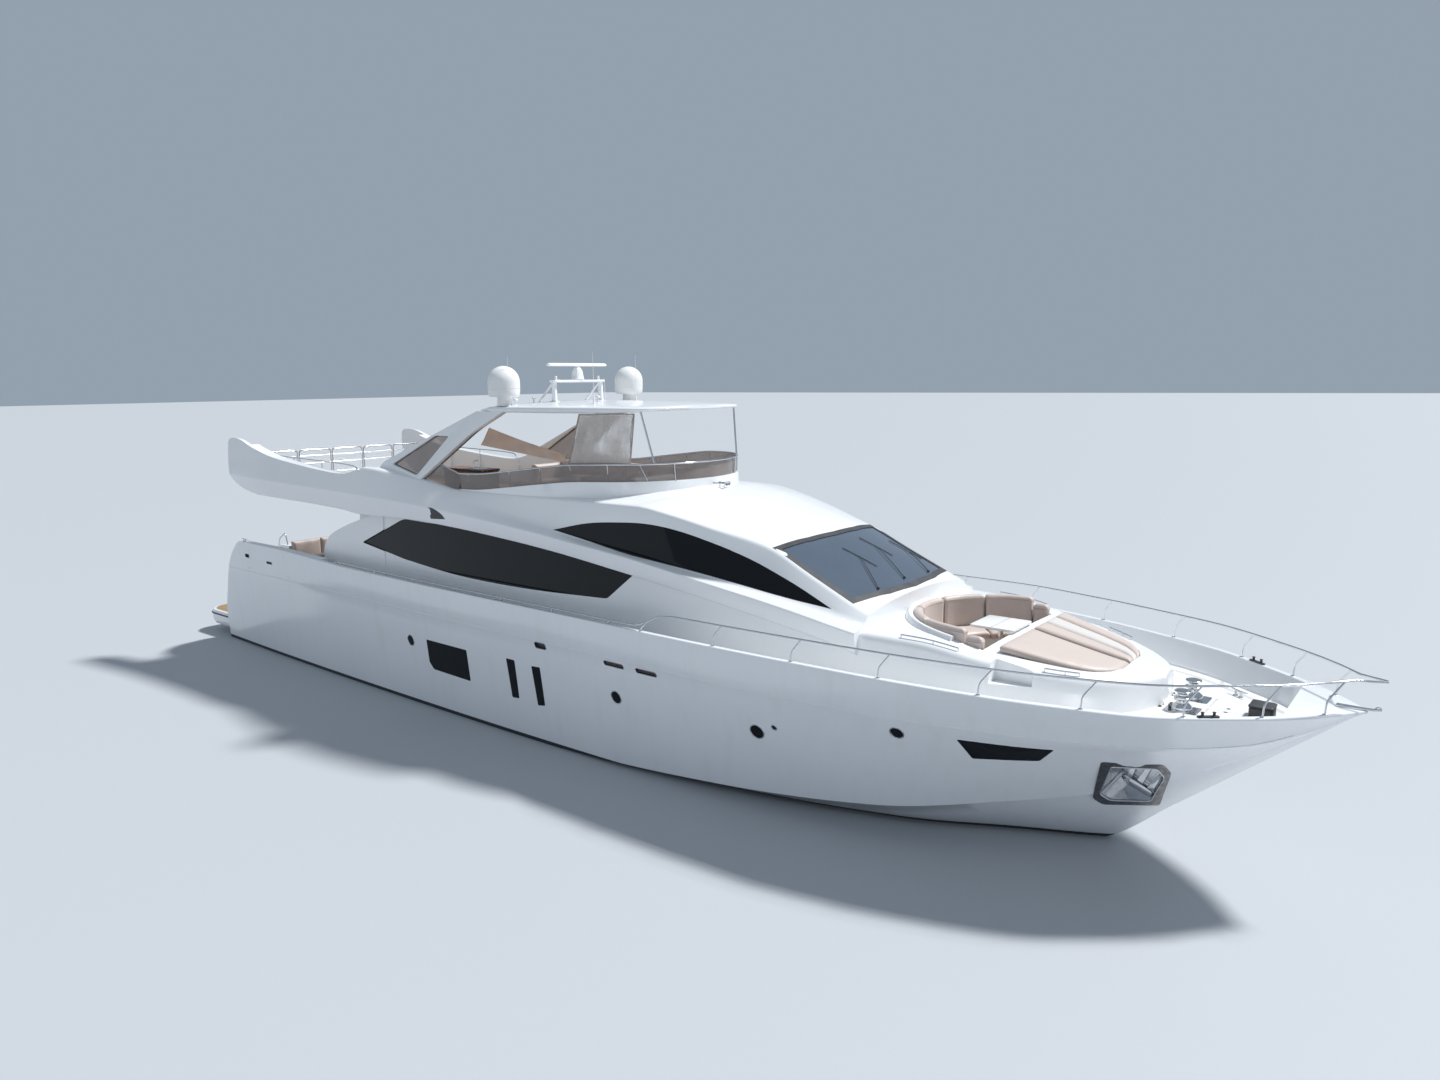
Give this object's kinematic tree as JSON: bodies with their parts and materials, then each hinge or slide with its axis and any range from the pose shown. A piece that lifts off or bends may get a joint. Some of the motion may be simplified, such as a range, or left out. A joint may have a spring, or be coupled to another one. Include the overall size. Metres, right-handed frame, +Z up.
{
  "type": "flybridge motor yacht",
  "caption": "Flybridge motor yacht with hardtop, tinted saloon windows, foredeck lounge, stern stairs, garage door, swim platform, propellers and rudders.",
  "frame": {"origin": "on the waterline plane, on the centre line, 12 m aft of where the stem meets the water", "axes": "+X towards the bow, +Y to port, +Z up"},
  "size_m": [30.1068, 6.4988, 9.7141],
  "materials": {
    "gelcoat": "glossy white moulded gelcoat",
    "tinted_glass": "near black tinted glass",
    "tinted_acrylic": "brown tinted acrylic",
    "stainless": "polished stainless tube",
    "polished_steel": "polished and cast stainless",
    "bronze": "cast bronze",
    "dark_trim": "dark grained moulding",
    "upholstery": "beige marine vinyl with seams",
    "teak": "varnished teak",
    "radome": "white painted radome"
  },
  "bodies": {
    "yacht": {"hull": "gelcoat", "bulwark_port": "gelcoat", "bulwark_stbd": "gelcoat", "deckhouse": "gelcoat", "flybridge": "gelcoat", "foredeck_lounge": "gelcoat", "hardtop": "gelcoat", "arch_port": "gelcoat", "arch_stbd": "gelcoat", "swim_platform": "gelcoat", "saloon_bulkhead": "gelcoat", "helm_console": "gelcoat", "saloon_window_port": "tinted_glass", "saloon_window_stbd": "tinted_glass", "pilot_window_port": "tinted_glass", "pilot_window_stbd": "tinted_glass", "windscreen": "tinted_glass", "saloon_pane": "tinted_glass", "fly_screen": "tinted_acrylic", "fly_screen_rail": "stainless", "fly_aft_rail": "stainless", "bow_rail_port": "stainless", "bow_rail_stbd": "stainless", "windlass_port": "polished_steel", "windlass_stbd": "polished_steel", "anchor_port": "polished_steel", "anchor_stbd": "polished_steel", "strut_port": "bronze", "strut_stbd": "bronze", "wheelhouse_dash": "dark_trim", "helm_seat": "upholstery", "fly_sofa": "upholstery", "lounge_seat": "upholstery", "lounge_back": "upholstery", "sunpad_port": "upholstery", "sunpad_stbd": "upholstery", "cockpit_sofa": "upholstery", "fly_table": "teak", "fly_bar": "teak", "lounge_table": "teak", "cockpit_table": "teak", "satdome_port": "radome", "satdome_stbd": "radome", "mast_frame": "radome", "radar_pedestal": "radome"},
    "propshaft_port": {"propeller_port": "bronze", "shaft_port": "stainless"},
    "propshaft_stbd": {"propeller_stbd": "bronze", "shaft_stbd": "stainless"},
    "rudder_blade_port": {"rudder_port": "bronze"},
    "rudder_blade_stbd": {"rudder_stbd": "bronze"},
    "helm": {"helm_wheel": "dark_trim"},
    "radar": {"radar_scanner": "radome"},
    "garage": {"garage_door": "gelcoat"},
    "saloon_leaf": {"saloon_door": "tinted_glass"},
    "locker_port": {"locker_lid_port": "gelcoat"},
    "locker_stbd": {"locker_lid_stbd": "gelcoat"}
  },
  "joints": [
    {"name": "propeller_spin_port", "type": "hinge", "parent": "yacht", "child": "propshaft_port", "pos_m": [-11.09309, 1.15, -1.37495], "axis": [0.9863, 0, 0.165], "continuous": true},
    {"name": "propeller_spin_stbd", "type": "hinge", "parent": "yacht", "child": "propshaft_stbd", "pos_m": [-11.09309, -1.15, -1.37495], "axis": [0.9863, 0, 0.165], "continuous": true},
    {"name": "rudder_swing_stbd", "type": "hinge", "parent": "yacht", "child": "rudder_blade_stbd", "pos_m": [-12.25, -1.15, -1.2], "axis": [0, 0, 1], "range_deg": [-35, 35]},
    {"name": "rudder_swing_port", "type": "hinge", "parent": "yacht", "child": "rudder_blade_port", "pos_m": [-12.25, 1.15, -1.2], "axis": [0, 0, 1], "range_deg": [-35, 35]},
    {"name": "helm_turn", "type": "hinge", "parent": "yacht", "child": "helm", "pos_m": [2.31, -0.95, 5.38], "axis": [-0.8829, 0, 0.4695], "range_deg": [-900, 900]},
    {"name": "radar_spin", "type": "hinge", "parent": "yacht", "child": "radar", "pos_m": [-0.26, 0, 7.8], "axis": [0, 0, 1], "continuous": true},
    {"name": "garage_lift", "type": "hinge", "parent": "yacht", "child": "garage", "pos_m": [-12.29984, 0, 1.89], "axis": [0, 1, 0], "range_deg": [0, 80]},
    {"name": "saloon_slide", "type": "slide", "parent": "yacht", "child": "saloon_leaf", "axis": [0, 1, 0], "range_m": [0, 0.85]},
    {"name": "locker_lift_port", "type": "hinge", "parent": "yacht", "child": "locker_port", "pos_m": [13.64, 0.514, 2.5], "axis": [-1, 0, 0], "range_deg": [0, 100]},
    {"name": "locker_lift_stbd", "type": "hinge", "parent": "yacht", "child": "locker_stbd", "pos_m": [13.64, -0.514, 2.5], "axis": [1, 0, 0], "range_deg": [0, 100]}
  ],
  "couplings": [
    {"joint": "rudder_swing_port", "follows": "rudder_swing_stbd", "ratio": 1},
    {"joint": "helm_turn", "follows": "rudder_swing_stbd", "ratio": -25.7}
  ]
}
